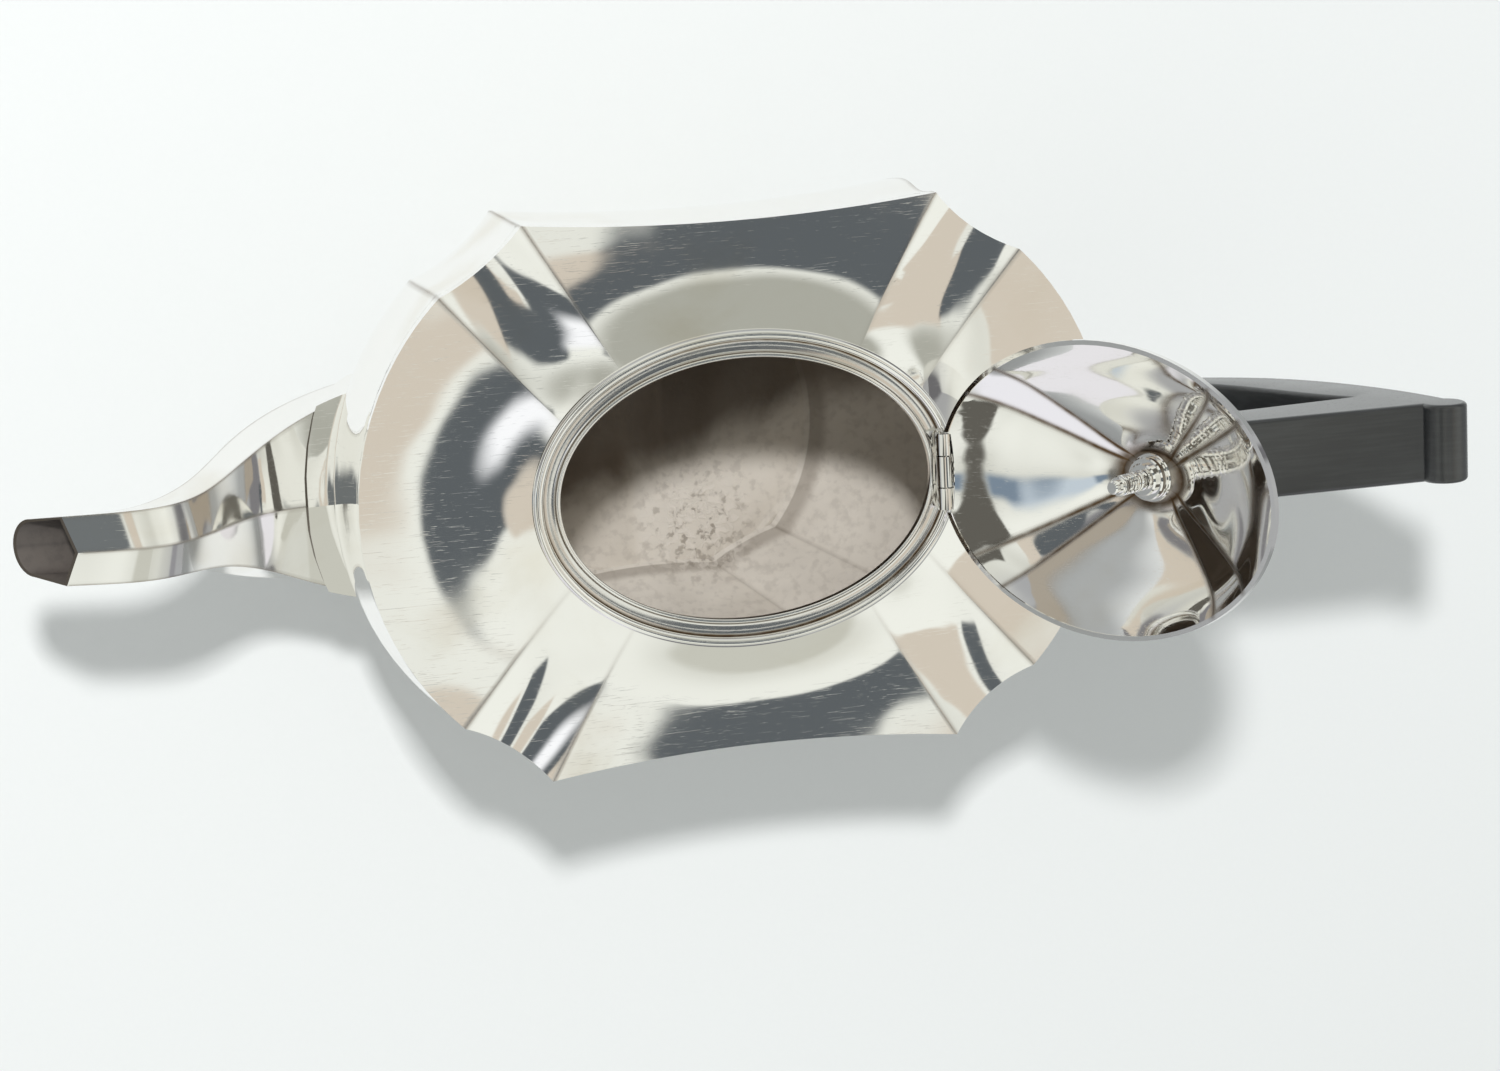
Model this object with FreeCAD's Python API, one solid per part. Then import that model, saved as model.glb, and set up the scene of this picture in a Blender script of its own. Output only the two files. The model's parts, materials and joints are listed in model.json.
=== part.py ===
import FreeCAD, Part
import math
import os

V = FreeCAD.Vector

# A panelled oval teapot, millimetres, +Z up, table at z = 0, spout at -X, handle at +X.
# An outline is eight arcs: two bowed ends, four hollow corner panels, two hollow long sides.
# It is given by corner A (end / corner panel), corner B (corner panel / long side) and bows.

# Heights of the vessel
foot_height = 4.0
base_thickness = 1.0
rim_height = 80.0
rim_band = 1.2
wall = 1.3

# Outline at the rim and at the base
rim_outline = dict(ax=57.5, ay=41.5, bx=41.0, by=53.8, end=17.6, corner=-1.4, side=-2.4)
base_outline = dict(ax=27.0, ay=24.5, bx=12.8, by=31.0, end=9.0, corner=-0.5, side=-0.7)
foot_spread = 1.6
foot_wall = 4.0

# Share of a wall thickness that each outline value loses on the inside of the wall
inset_share = dict(ax=0.62, ay=0.62, bx=0.35, by=0.95, end=0.38, corner=0.0, side=0.0)

# Body swell: share of the height against share of the way from base outline to rim outline
body_swell = [(0.0, 0.0), (0.06, 0.19), (0.17, 0.44), (0.34, 0.72), (0.54, 0.93),
              (0.74, 1.02), (0.88, 0.99), (0.96, 0.985), (1.0, 1.0)]

# Shoulder: share of the way from the rim to the collar against share of the rise
shoulder_rise = 3.0
shoulder_cove = [(0.0, 0.0), (0.22, 0.03), (0.45, 0.14), (0.65, 0.33), (0.83, 0.62), (1.0, 1.0)]
shoulder_thickness = 0.9
ridge_height = 1.4
crease_a = 32.0
crease_b = 55.5

# Mouth collar
collar_length = 84.8
collar_width = 61.8
bead_width = 2.0
bead_height = 1.6
bead_round_share = 0.45
ledge_width = 2.6
ledge_thickness = 1.0
lip_width = 0.9
lip_height = 0.5

# Lid, modelled shut and then swung open
lid_clearance = 0.4
lid_seat_gap = 0.4
lid_wall = 0.9
lid_rim_band = 1.2
lid_depth = 16.5
lid_crease_a = 35.0
lid_crease_b = 50.0
lid_swell = [(0.0, 1.0), (0.22, 0.90), (0.50, 0.68), (0.74, 0.43), (0.90, 0.26), (1.0, 0.18)]
lid_flatten = 0.45
lid_open = 121.0

# Hinge at the handle end of the mouth
hinge_inset = 2.9
hinge_above_ledge = 2.2
knuckle_radius = 1.8
lid_knuckle_width = 6.0
side_knuckle_width = 4.2
knuckle_gap = 0.25
hinge_pin_radius = 0.8
hinge_pin_clearance = 0.05
hinge_notch_gap = 0.5
hinge_leaf_reach = 8.0
hinge_leaf_thickness = 1.1

# Finial and its fixing through the lid
stud_radius = 1.9
stud_below_nut = 7.5
stud_tip_length = 1.6
stud_tip_radius = 1.3
stud_in_knob = 6.5
nut_radius = 4.2
nut_height = 2.6
nut_step_radius = 3.2
nut_step_height = 1.0
washer_radius = 4.8
washer_thickness = 0.8
finial_base_radius = 6.0
finial_base_height = 1.6
knob_radius = 6.6
knob_neck_radius = 4.2
knob_height = 9.5
knob_flare_height = 1.9
knob_waist_height = 5.2
knob_crown_radius = 5.0
knob_crown_height = 8.2
knob_button_radius = 1.5

# Spout: six-sided sections down the spine, heights measured from the rim
spout_wall = 1.1
spout_slant = 1.1
spout_sections = [
    dict(top=(-64.0, -23.0), keel=(-50.0, -58.0), half=21.5),
    dict(top=(-77.0, -22.5), keel=(-66.0, -56.0), half=18.2),
    dict(top=(-88.5, -20.0), keel=(-82.0, -46.0), half=13.0),
    dict(top=(-97.5, -11.5), keel=(-94.5, -33.0), half=8.9),
    dict(top=(-106.0, -1.2), keel=(-105.5, -20.0), half=7.0),
    dict(top=(-115.0, 3.0), keel=(-117.0, -11.5), half=6.8),
    dict(top=(-128.0, 1.0), keel=(-128.5, -10.5), half=6.6),
    dict(top=(-143.0, -2.0), keel=(-142.0, -12.5), half=6.4),
]
spout_upper_share = 0.2
spout_lower_share = 0.72
spout_lower_half = 0.84
spout_lip_top = (-128.0, 1.0)
spout_lip_end = (-137.8, -11.0)
spout_foot_width = 6.0
spout_foot_thickness = 0.9
strainer_hole = 2.4
strainer_pitch = 5.0
strainer_rows = 4
strainer_drop = 40.0

# Handle: profile in the XZ plane, heights measured from the rim
handle_width = 15.6
handle_round = 0.9
limb_top = 25.8
limb_depth = 12.6
limb_start = 93.0
limb_end = 131.2
limb_under_setback = 5.0
knee_bulge = (-0.8, 1.2)
neck_bulge = (0.3, -0.3)
apex = (122.0, 10.7)
roll_radius = 4.6
roll_sink = 0.4
socket_wall = 1.3
socket_length = 11.0
socket_sink = 5.0
socket_splay = 0.8
upper_root = (76.5, -15.0)
upper_angle = 48.0
upper_depth = 12.0
lower_root = (69.5, -39.0)
lower_angle = 14.0
lower_depth = 11.0
outer_back = [(128.3, -4.4), (116.2, -20.2), (103.0, -28.8)]
roll_meet_angle = -50.0
roll_meet_share = 0.85
inner_back = [(112.5, -4.6), (103.1, -18.9), (94.5, -25.8)]
handle_pin_radius = 1.0
pin_setback = 2.6
tenon_depth = 5.0


def corner_points(o):
    ax, ay, bx, by = o["ax"], o["ay"], o["bx"], o["by"]
    right = [(ax, -ay), (ax, ay), (bx, by)]
    left = [(-bx, by), (-ax, ay), (-ax, -ay), (-bx, -by)]
    return right + left + [(bx, -by)]


def middle_points(o):
    points = corner_points(o)
    bows = ["end", "corner", "side", "corner", "end", "corner", "side", "corner"]
    middles = []
    for i, bow in enumerate(bows):
        x0, y0 = points[i]
        x1, y1 = points[(i + 1) % 8]
        length = math.hypot(x1 - x0, y1 - y0)
        nx = (y1 - y0) / length
        ny = (x0 - x1) / length
        middles.append(((x0 + x1) / 2 + nx * o[bow], (y0 + y1) / 2 + ny * o[bow]))
    return middles


def blend_outlines(first, second, share):
    return {key: first[key] + share * (second[key] - first[key]) for key in first}


def inset_outline(o, depth):
    return {key: value - depth * inset_share[key] for key, value in o.items()}


def arc_loop(corners, middles, corner_z, middle_z):
    edges = []
    count = len(corners)
    for i in range(count):
        start = V(*corners[i], corner_z)
        end = V(*corners[(i + 1) % count], corner_z)
        edges.append(Part.Arc(start, V(*middles[i], middle_z), end).toShape())
    return Part.Wire(edges)


def outline_wire(o, z):
    return arc_loop(corner_points(o), middle_points(o), z, z)


def oval_points(a, b, split_a, split_b):
    turns = [-split_a, split_a, split_b, 180 - split_b, 180 - split_a, 180 + split_a,
             180 + split_b, 360 - split_b, 360 - split_a]
    corners = []
    middles = []
    for i in range(8):
        t = math.radians(turns[i])
        m = math.radians((turns[i] + turns[i + 1]) / 2)
        corners.append((a * math.cos(t), b * math.sin(t)))
        middles.append((a * math.cos(m), b * math.sin(m)))
    return corners, middles


def mix(first, second, share):
    pairs = zip(first, second)
    return [(p[0] + share * (q[0] - p[0]), p[1] + share * (q[1] - p[1])) for p, q in pairs]


def oval_prism(length, width, z0, z1):
    ellipse = Part.Ellipse(V(0, 0, z0), length / 2, width / 2)
    face = Part.Face(Part.Wire(ellipse.toShape()))
    return face.extrude(V(0, 0, z1 - z0))


def block(x0, x1, y0, y1, z0, z1):
    return Part.makeBox(x1 - x0, y1 - y0, z1 - z0, V(x0, y0, z0))


def cylinder_y(radius, length, x, y, z):
    return Part.makeCylinder(radius, length, V(x, y, z), V(0, 1, 0))


def body_loft(depth):
    bottom = foot_height + base_thickness
    height = rim_height - rim_band - bottom
    wires = []
    for rise, swell in body_swell:
        outline = inset_outline(blend_outlines(base_outline, rim_outline, swell), depth)
        wires.append(outline_wire(outline, bottom + rise * height))
    return Part.makeLoft(wires, True, False)


def strainer():
    holes = []
    reach = -rim_outline["ax"] - rim_outline["end"] - foot_spread
    for row in range(strainer_rows):
        z = rim_height - strainer_drop + (row - (strainer_rows - 1) / 2) * strainer_pitch
        count = strainer_rows - row % 2
        for i in range(count):
            y = (i - (count - 1) / 2) * strainer_pitch
            holes.append(Part.makeCylinder(strainer_hole / 2, -reach / 2, V(reach, y, z), V(1, 0, 0)))
    return Part.makeCompound(holes)


def make_body_shell():
    return body_loft(0).cut(body_loft(wall)).cut(strainer())


def make_base_plate():
    face = Part.Face(outline_wire(base_outline, foot_height))
    return face.extrude(V(0, 0, base_thickness))


def make_foot_rim():
    spread = inset_outline(base_outline, -foot_spread)
    waist = inset_outline(base_outline, foot_spread)
    outer = Part.makeLoft([outline_wire(spread, 0), outline_wire(waist, foot_height)], True, False)
    inner = inset_outline(base_outline, foot_wall)
    hole = Part.Face(outline_wire(inner, 0)).extrude(V(0, 0, foot_height))
    return outer.cut(hole)


def shoulder_skin(depth, drop):
    outline = inset_outline(rim_outline, depth)
    corners = corner_points(outline)
    middles = middle_points(outline)
    oval = oval_points(collar_length / 2, collar_width / 2, crease_a, crease_b)
    wires = []
    for share, rise in shoulder_cove:
        z = rim_height + rise * shoulder_rise - drop
        ridge = ridge_height * (1 - share)
        wires.append(arc_loop(mix(corners, oval[0], share), mix(middles, oval[1], share), z + ridge, z))
    return Part.makeLoft(wires, False, False)


def shoulder_block(depth, drop):
    fall = V(0, 0, -2 * shoulder_rise - 2 * ridge_height)
    solids = [face.extrude(fall) for face in shoulder_skin(depth, drop).Faces]
    return solids[0].multiFuse(solids[1:])


def collar_top():
    return rim_height + shoulder_rise


def make_shoulder():
    size = 2 * rim_outline["ax"]
    below = block(-size, size, -size, size, 0, rim_height - rim_band)
    mouth = oval_prism(collar_length, collar_width, rim_height - 3 * rim_band, 2 * rim_height)
    shell = shoulder_block(0, 0).cut(shoulder_block(wall, shoulder_thickness))
    return shell.cut(below).cut(mouth)


def hinge_place():
    x = collar_length / 2 - hinge_inset
    return x, collar_top() + hinge_above_ledge


def hinge_half_width():
    return lid_knuckle_width / 2 + knuckle_gap + side_knuckle_width


def hinge_notch(top):
    x = hinge_place()[0]
    half = hinge_half_width() + hinge_notch_gap
    left = x - knuckle_radius - hinge_notch_gap
    return block(left, 2 * x, -half, half, collar_top(), top)


def make_mouth_collar():
    low = collar_top() - ledge_thickness
    high = collar_top() + bead_height
    outer = oval_prism(collar_length, collar_width, low, high)
    seat_length = collar_length - 2 * bead_width
    seat_width = collar_width - 2 * bead_width
    seat = oval_prism(seat_length, seat_width, collar_top(), high)
    lip_length = seat_length - 2 * ledge_width
    lip_breadth = seat_width - 2 * ledge_width
    lip = oval_prism(lip_length, lip_breadth, collar_top(), collar_top() + lip_height)
    mouth = oval_prism(lip_length - 2 * lip_width, lip_breadth - 2 * lip_width, low, high)
    ring = outer.cut(seat)
    tops = [e for e in ring.Edges if abs(e.BoundBox.ZMin - high) < 0.01 and e.BoundBox.ZLength < 0.01]
    ring = ring.makeFillet(bead_round_share * bead_width, tops)
    return ring.fuse(lip).cut(mouth).removeSplitter().cut(hinge_notch(high))


def lid_size():
    length = collar_length - 2 * bead_width - 2 * lid_clearance
    width = collar_width - 2 * bead_width - 2 * lid_clearance
    return length / 2, width / 2


def lid_bottom():
    return collar_top() + lip_height + lid_seat_gap


def lid_loft(depth, drop):
    a, b = lid_size()
    a -= depth
    b -= depth
    rim = oval_points(a, b, lid_crease_a, lid_crease_b)
    z0 = lid_bottom() + lid_rim_band - drop
    wires = []
    for rise, share in lid_swell:
        corners = [(x * share, y * share) for x, y in rim[0]]
        chords = mix(corners, corners[1:] + corners[:1], 0.5)
        bowed = [(x * share, y * share) for x, y in rim[1]]
        flat = lid_flatten + (1 - lid_flatten) * abs(2 * rise - 1) ** 2
        middles = mix(chords, bowed, flat)
        z = z0 + rise * (lid_depth - lid_rim_band)
        wires.append(arc_loop(corners, middles, z, z))
    dome = Part.makeLoft(wires, True, False)
    band = Part.Face(wires[0]).extrude(V(0, 0, -lid_rim_band))
    return dome.fuse(band).removeSplitter()


def make_lid_shell():
    shell = lid_loft(0, 0).cut(lid_loft(lid_wall, lid_wall))
    stud_hole = Part.makeCylinder(stud_radius, 2 * lid_depth, V(0, 0, lid_bottom()))
    return shell.cut(stud_hole).cut(hinge_notch(lid_bottom() + lid_depth))


def make_finial_base():
    z = lid_bottom() + lid_depth
    disc = Part.makeCone(finial_base_radius, knob_neck_radius, finial_base_height, V(0, 0, z))
    return disc.cut(Part.makeCylinder(stud_radius, 2 * finial_base_height, V(0, 0, z)))


def make_finial_knob():
    z = lid_bottom() + lid_depth + finial_base_height
    start = V(knob_neck_radius, 0, z)
    flare = V((knob_neck_radius + knob_radius) / 2, 0, z + knob_flare_height)
    waist = V(knob_radius, 0, z + knob_waist_height)
    crown = V(knob_crown_radius, 0, z + knob_crown_height)
    rim = V(knob_button_radius, 0, z + knob_height)
    top = V(0, 0, z + knob_height)
    lower = Part.Arc(start, flare, waist)
    upper = Part.Arc(waist, crown, rim)
    button = Part.LineSegment(rim, top)
    axis = Part.LineSegment(top, V(0, 0, z))
    foot = Part.LineSegment(V(0, 0, z), start)
    wire = Part.Wire([s.toShape() for s in (lower, upper, button, axis, foot)])
    knob = Part.Face(wire).revolve(V(0, 0, 0), V(0, 0, 1), 360)
    return knob.cut(Part.makeCylinder(stud_radius, stud_in_knob, V(0, 0, z)))


def lid_inside_top():
    return lid_bottom() + lid_depth - lid_wall


def make_finial_stud():
    top = lid_bottom() + lid_depth + finial_base_height + stud_in_knob
    end = lid_inside_top() - washer_thickness - nut_height - stud_below_nut
    shank = Part.makeCylinder(stud_radius, top - end, V(0, 0, end))
    tip = Part.makeCylinder(stud_tip_radius, stud_tip_length, V(0, 0, end - stud_tip_length))
    return shank.fuse(tip).removeSplitter()


def make_finial_washer():
    z = lid_inside_top() - washer_thickness
    disc = Part.makeCylinder(washer_radius, washer_thickness, V(0, 0, z))
    return disc.cut(Part.makeCylinder(stud_radius, washer_thickness, V(0, 0, z)))


def make_finial_nut():
    z = lid_inside_top() - washer_thickness - nut_height
    step = Part.makeCylinder(nut_step_radius, nut_step_height, V(0, 0, z))
    disc = Part.makeCylinder(nut_radius, nut_height - nut_step_height, V(0, 0, z + nut_step_height))
    return step.fuse(disc).removeSplitter().cut(Part.makeCylinder(stud_radius, nut_height, V(0, 0, z)))


def make_lid_knuckle():
    x, z = hinge_place()
    half = lid_knuckle_width / 2
    barrel = cylinder_y(knuckle_radius, lid_knuckle_width, x, -half, z)
    leaf = block(x - hinge_leaf_reach, x, -half, half, z - knuckle_radius / 2, z + knuckle_radius)
    tongue = leaf.cut(lid_loft(0, 0))
    near = block(x - hinge_leaf_reach, x, -half, half, lid_bottom(), z + knuckle_radius)
    knuckle = barrel.fuse(tongue.common(near)).removeSplitter()
    return knuckle.cut(cylinder_y(hinge_pin_radius + hinge_pin_clearance, lid_knuckle_width, x, -half, z))


def make_hinge_bracket():
    x, z = hinge_place()
    half = hinge_half_width()
    knuckles = []
    for y in (-half, half - side_knuckle_width):
        barrel = cylinder_y(knuckle_radius, side_knuckle_width, x, y, z)
        arm = block(x, x + 2 * knuckle_radius, y, y + side_knuckle_width, collar_top(), z)
        knuckles.append(barrel.fuse(arm))
    back = x + knuckle_radius + 2 * knuckle_gap
    leaf_top = z - knuckle_radius + hinge_leaf_thickness
    plate = block(back, x + hinge_leaf_reach, -half, half, rim_height, leaf_top)
    bracket = plate.fuse(knuckles).removeSplitter()
    bracket = bracket.cut(shoulder_block(0, 0)).cut(make_mouth_collar())
    return bracket.cut(cylinder_y(hinge_pin_radius, 2 * half, x, -half, z))


def make_hinge_pin():
    x, z = hinge_place()
    half = hinge_half_width()
    return cylinder_y(hinge_pin_radius, 2 * half, x, -half, z)


def spout_ring(section, depth):
    tx, tz = section["top"]
    kx, kz = section["keel"]
    length = math.hypot(tx - kx, tz - kz)
    ux = (kx - tx) / length
    uz = (kz - tz) / length
    half = section["half"] - depth
    start = spout_slant * depth
    span = length - 2 * start

    def point(along, y):
        d = start + along * span
        return V(tx + ux * d, y, rim_height + tz + uz * d)

    low = half * spout_lower_half
    ring = [point(0, 0), point(spout_upper_share, half), point(spout_lower_share, low),
            point(1, 0), point(spout_lower_share, -low), point(spout_upper_share, -half)]
    return Part.makePolygon(ring + ring[:1])


def spout_loft(depth):
    return Part.makeLoft([spout_ring(s, depth) for s in spout_sections], True, False)


def spout_tip_cut():
    tx, tz = spout_lip_top
    ex, ez = spout_lip_end
    dx = ex - tx
    dz = ez - tz
    away = 2 * rim_height
    wide = 4 * spout_sections[-1]["half"]
    upper = (tx - dx, tz - dz)
    lower = (ex + dx, ez + dz)
    corners = [upper, lower, (lower[0] - away, lower[1]), (upper[0] - away, upper[1] + away)]
    points = [V(x, -wide / 2, rim_height + z) for x, z in corners]
    return Part.Face(Part.makePolygon(points + points[:1])).extrude(V(0, wide, 0))


def make_spout():
    tube = spout_loft(0).cut(spout_loft(spout_wall))
    return tube.cut(spout_tip_cut()).cut(body_loft(0))


def make_spout_foot():
    sleeve = spout_loft(-spout_foot_thickness).cut(spout_loft(0)).cut(body_loft(0))
    reach = -rim_outline["ax"] - rim_outline["end"] - spout_foot_width
    tall = block(reach, 0, -2 * rim_height, 2 * rim_height, 0, rim_height - rim_band)
    return sleeve.common(tall)


def handle_axis(root, angle, along, across):
    a = math.radians(angle)
    x = root[0] + along * math.cos(a) - across * math.sin(a)
    z = root[1] + along * math.sin(a) + across * math.cos(a)
    return x, z


def xz(point):
    return V(point[0], 0, rim_height + point[1])


def spline_through(points):
    curve = Part.BSplineCurve()
    curve.interpolate([xz(p) for p in points])
    return curve.toShape()


def bulged_between(p, q, bulge):
    middle = ((p[0] + q[0]) / 2 + bulge[0], (p[1] + q[1]) / 2 + bulge[1])
    return spline_through([p, middle, q])


def line_between(p, q):
    return Part.LineSegment(xz(p), xz(q)).toShape()


def roll_centre():
    return limb_end + roll_radius - roll_sink, limb_top - roll_sink


def roll_meet():
    x, z = roll_centre()
    reach = roll_meet_share * roll_radius
    turn = math.radians(roll_meet_angle)
    return x + reach * math.cos(turn), z + reach * math.sin(turn)


def handle_profile():
    tenon = socket_length - tenon_depth
    up_top = handle_axis(upper_root, upper_angle, tenon, upper_depth / 2)
    up_low = handle_axis(upper_root, upper_angle, tenon, -upper_depth / 2)
    up_top_end = handle_axis(upper_root, upper_angle, socket_length, upper_depth / 2)
    up_low_end = handle_axis(upper_root, upper_angle, socket_length, -upper_depth / 2)
    low_top = handle_axis(lower_root, lower_angle, tenon, lower_depth / 2)
    low_low = handle_axis(lower_root, lower_angle, tenon, -lower_depth / 2)
    low_top_end = handle_axis(lower_root, lower_angle, socket_length, lower_depth / 2)
    low_low_end = handle_axis(lower_root, lower_angle, socket_length, -lower_depth / 2)
    knee = (limb_start, limb_top)
    under = (limb_start + limb_under_setback, limb_top - limb_depth)
    shoulder = (limb_end, limb_top)
    edges = [
        line_between(up_low, up_top),
        line_between(up_top, up_top_end),
        bulged_between(up_top_end, knee, knee_bulge),
        line_between(knee, shoulder),
        line_between(shoulder, roll_meet()),
        spline_through([roll_meet()] + outer_back + [low_low_end]),
        line_between(low_low_end, low_low),
        line_between(low_low, low_top),
        line_between(low_top, low_top_end),
        spline_through([low_top_end] + inner_back[::-1] + [apex]),
        line_between(apex, under),
        bulged_between(under, up_low_end, neck_bulge),
        line_between(up_low_end, up_low),
    ]
    return Part.Face(Part.Wire(edges))


def handle_bar():
    face = handle_profile()
    face.translate(V(0, -handle_width / 2, 0))
    bar = face.extrude(V(0, handle_width, 0))
    roll_x, roll_z = roll_centre()
    roll = cylinder_y(roll_radius, handle_width, roll_x, -handle_width / 2, rim_height + roll_z)
    bar = bar.fuse(roll).removeSplitter()
    sides = [e for e in bar.Edges if e.BoundBox.YLength < 0.01]
    return bar.makeFillet(handle_round, sides)


def handle_pin(root, angle):
    x, z = handle_axis(root, angle, socket_length - pin_setback, 0)
    reach = handle_width + 2 * socket_wall
    return cylinder_y(handle_pin_radius, reach, x, -reach / 2, rim_height + z)


def upper_pin():
    return handle_pin(upper_root, upper_angle)


def lower_pin():
    return handle_pin(lower_root, lower_angle)


def make_handle_grip():
    return handle_bar().cut(upper_pin()).cut(lower_pin())


def handle_socket(root, angle, depth):
    half = depth / 2 + socket_wall
    foot = half + socket_splay
    corners = [(-socket_sink, -foot), (socket_length, -half), (socket_length, half), (-socket_sink, foot)]
    points = [xz(handle_axis(root, angle, along, across)) for along, across in corners]
    width = handle_width + 2 * socket_wall
    face = Part.Face(Part.makePolygon(points + points[:1]))
    face.translate(V(0, -width / 2, 0))
    sleeve = face.extrude(V(0, width, 0))
    return sleeve.cut(handle_bar()).cut(body_loft(0)).cut(handle_pin(root, angle))


def make_upper_socket():
    return handle_socket(upper_root, upper_angle, upper_depth)


def make_lower_socket():
    return handle_socket(lower_root, lower_angle, lower_depth)


def turned_open(shape):
    x, z = hinge_place()
    shape.rotate(V(x, 0, z), V(0, 1, 0), lid_open)
    return shape


def build():
    lid_parts = dict(
        lid_shell=make_lid_shell(),
        lid_knuckle=make_lid_knuckle(),
        finial_base=make_finial_base(),
        finial_knob=make_finial_knob(),
        finial_stud=make_finial_stud(),
        finial_washer=make_finial_washer(),
        finial_nut=make_finial_nut(),
    )
    parts = dict(
        body_shell=make_body_shell(),
        base_plate=make_base_plate(),
        foot_rim=make_foot_rim(),
        shoulder=make_shoulder(),
        mouth_collar=make_mouth_collar(),
        spout=make_spout(),
        spout_foot=make_spout_foot(),
        hinge_bracket=make_hinge_bracket(),
        hinge_pin=make_hinge_pin(),
        handle_grip=make_handle_grip(),
        upper_handle_socket=make_upper_socket(),
        lower_handle_socket=make_lower_socket(),
        upper_handle_pin=upper_pin(),
        lower_handle_pin=lower_pin(),
    )
    parts.update({name: turned_open(shape) for name, shape in lid_parts.items()})
    os.makedirs("parts", exist_ok=True)
    for name, shape in parts.items():
        shape.exportStep("parts/" + name + ".step")
        print(name, "solids", len(shape.Solids), "volume", round(shape.Volume, 1), "valid", shape.isValid())


build()
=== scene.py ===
import json
import math

import bmesh
import bpy
import numpy as np
from mathutils import Matrix, Vector

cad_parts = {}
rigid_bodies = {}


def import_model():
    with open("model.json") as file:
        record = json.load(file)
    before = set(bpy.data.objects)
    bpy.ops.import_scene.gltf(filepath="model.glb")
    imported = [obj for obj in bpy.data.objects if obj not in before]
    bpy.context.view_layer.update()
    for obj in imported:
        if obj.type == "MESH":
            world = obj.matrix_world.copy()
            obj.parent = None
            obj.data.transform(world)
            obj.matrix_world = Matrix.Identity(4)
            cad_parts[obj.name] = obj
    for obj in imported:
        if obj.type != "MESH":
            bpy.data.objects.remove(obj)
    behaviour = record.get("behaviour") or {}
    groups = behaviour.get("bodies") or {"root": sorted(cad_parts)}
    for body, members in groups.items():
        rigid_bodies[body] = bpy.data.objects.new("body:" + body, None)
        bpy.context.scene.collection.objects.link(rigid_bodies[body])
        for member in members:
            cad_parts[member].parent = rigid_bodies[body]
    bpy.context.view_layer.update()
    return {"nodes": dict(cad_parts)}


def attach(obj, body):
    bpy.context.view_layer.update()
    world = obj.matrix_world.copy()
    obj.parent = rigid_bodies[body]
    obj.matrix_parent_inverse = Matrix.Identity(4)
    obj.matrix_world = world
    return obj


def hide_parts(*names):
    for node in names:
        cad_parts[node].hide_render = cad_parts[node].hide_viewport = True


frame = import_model()
scene = bpy.context.scene
scene.view_settings.view_transform = "Standard"
mm = 0.001
tiny = 0.000002                                  # points this close are one point, in metres
print("frame loaded:", len(frame["nodes"]), "nodes")


class Wire:
    def __init__(self, tree, socket=None):
        self.tree = tree
        self.socket = socket

    def node(self, kind, settings=None, sockets=None, out=0):
        made = self.tree.nodes.new(kind)
        for key, value in (settings or {}).items():
            setattr(made, key, value)
        for key, value in (sockets or {}).items():
            if isinstance(value, Wire):
                self.tree.links.new(value.socket, made.inputs[key])
            else:
                made.inputs[key].default_value = value
        return Wire(self.tree, made.outputs[out]) if len(made.outputs) else made

    def calc(self, operation, first, second=0.0, clamp=False):
        settings = dict(operation=operation, use_clamp=clamp)
        return self.node("ShaderNodeMath", settings, {0: first, 1: second})

    def __add__(self, other):
        return self.calc("ADD", self, other)

    def __radd__(self, other):
        return self.calc("ADD", other, self)

    def __sub__(self, other):
        return self.calc("SUBTRACT", self, other)

    def __rsub__(self, other):
        return self.calc("SUBTRACT", other, self)

    def __mul__(self, other):
        return self.calc("MULTIPLY", self, other)

    def __rmul__(self, other):
        return self.calc("MULTIPLY", other, self)

    def __truediv__(self, other):
        return self.calc("DIVIDE", self, other)

    def clip(self):
        return self.calc("ADD", self, 0.0, True)

    def step(self, low, high):
        sockets = {0: self, 1: low, 2: high, 3: 0.0, 4: 1.0}
        return self.node("ShaderNodeMapRange", dict(interpolation_type="SMOOTHSTEP"), sockets)

    def blend(self, first, second):
        settings = dict(data_type="RGBA", clamp_factor=True)
        return self.node("ShaderNodeMix", settings, {0: self, 6: first, 7: second}, 2)

    def vector(self, operation, sockets, out=0):
        return self.node("ShaderNodeVectorMath", dict(operation=operation), sockets, out)

    def noise(self, vector, scale, detail=3.0, warp=0.0, out=0):
        sockets = {"Vector": vector, "Scale": scale, "Detail": detail, "Distortion": warp}
        return self.node("ShaderNodeTexNoise", None, sockets, out)

    def stretched(self, vector, scale, turn):
        return self.node("ShaderNodeMapping", None, {"Vector": vector, "Scale": scale, "Rotation": turn})

    def mark(self, name):
        return self.node("ShaderNodeAttribute", dict(attribute_name=name), None, "Fac")


def startMaterial(name):
    material = bpy.data.materials.new(name)
    material.use_nodes = True
    material.node_tree.nodes.clear()
    graph = Wire(material.node_tree)
    coords = graph.node("ShaderNodeTexCoord", None, None, "Object")
    return material, graph, coords


def endMaterial(graph, sockets):
    shader = graph.node("ShaderNodeBsdfPrincipled", None, sockets)
    graph.node("ShaderNodeOutputMaterial", None, {"Surface": shader})


silver = dict(bright=(0.95, 0.94, 0.92, 1), warm=(0.87, 0.84, 0.78, 1), tarnish=(0.15, 0.095, 0.05, 1),
              rough=0.03, cloudRough=0.045, hairRough=0.032, fineRough=0.015, stainRough=0.4,
              cloudScale=38.0, fineScale=900.0, stainScale=330.0,
              wave=0.00016, waveScale=42.0, scratch=0.0000016, scratchStrength=0.6,
              hairs=[dict(scale=(160.0, 6200.0, 700.0), turn=(0.3, 0.2, 0.7), edge=(0.64, 0.76)),
                     dict(scale=(190.0, 5600.0, 700.0), turn=(0.1, 0.5, 1.25), edge=(0.66, 0.78))])
# dark finish for cut faces: the thin edges at the seams, the spout's lip and the foot's edge are darkened,
# partly as joint colour and partly as painted shade and dark reflection along them
seamShade = dict(silver, bright=(0.20, 0.17, 0.14, 1), warm=(0.10, 0.08, 0.06, 1), rough=0.30)


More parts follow.
